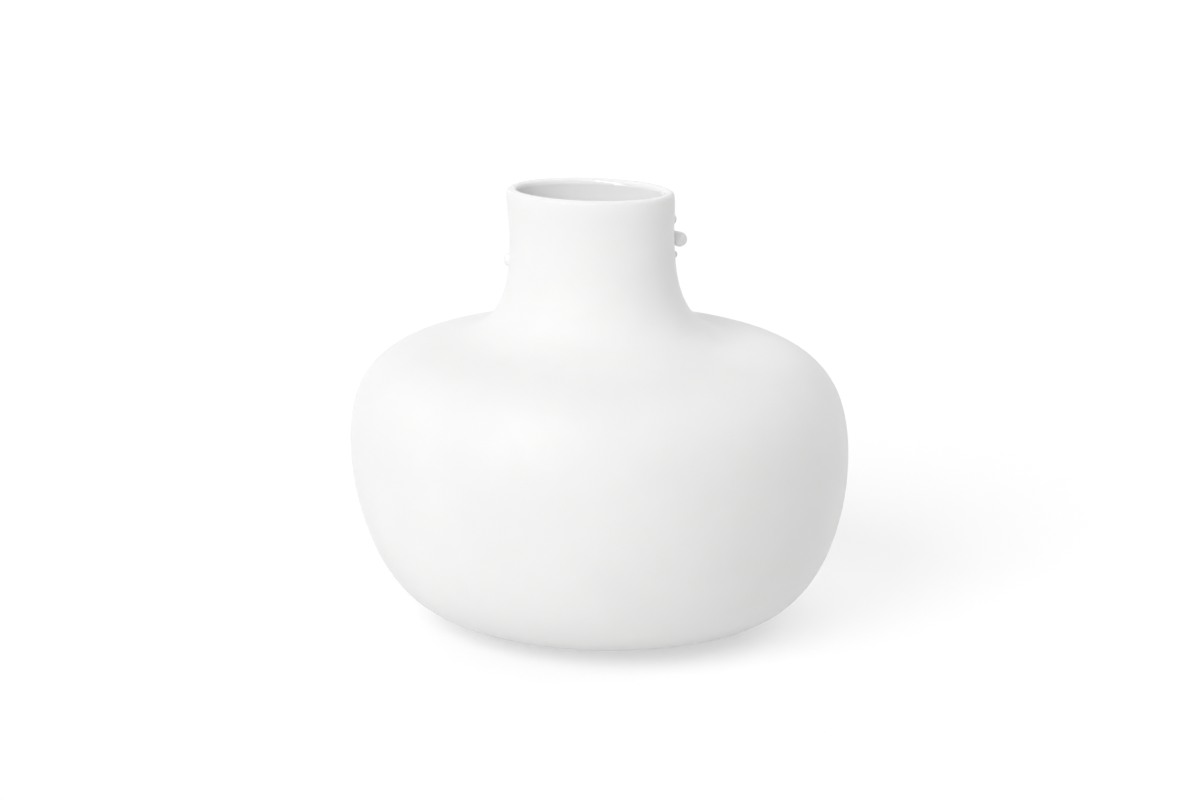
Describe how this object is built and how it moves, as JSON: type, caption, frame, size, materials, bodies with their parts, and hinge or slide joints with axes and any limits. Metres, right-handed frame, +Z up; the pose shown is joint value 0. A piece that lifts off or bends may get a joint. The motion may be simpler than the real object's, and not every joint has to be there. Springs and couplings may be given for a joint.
{
  "type": "pillow vase",
  "caption": "Matte white porcelain vase with a wide cushion-shaped belly, a short oval neck and a glossy glazed inside, for cut flowers.",
  "frame": {"origin": "centre of the foot ring on the table", "axes": "+X along the belly's width, -Y out of the plain face, +Z up through the mouth"},
  "size_m": [0.2202, 0.1782, 0.1921],
  "materials": {
    "bisque": "matte unglazed porcelain",
    "foot": "ground bare porcelain",
    "glaze": "glossy clear glaze",
    "relief": "matte unglazed porcelain"
  },
  "bodies": {
    "root": {"belly": "bisque", "neck": "bisque", "foot_ring": "foot", "glaze_lining": "glaze", "neck_button_1": "relief", "neck_button_2": "relief", "neck_button_3": "relief", "neck_button_4": "relief", "neck_button_5": "relief", "neck_drop_1": "relief", "neck_drop_2": "relief", "neck_drop_3": "relief", "neck_drop_4": "relief", "neck_drop_5": "relief", "neck_bead_1": "relief", "neck_bead_2": "relief", "neck_bead_3": "relief", "neck_bead_4": "relief", "neck_bead_5": "relief"}
  },
  "joints": []
}
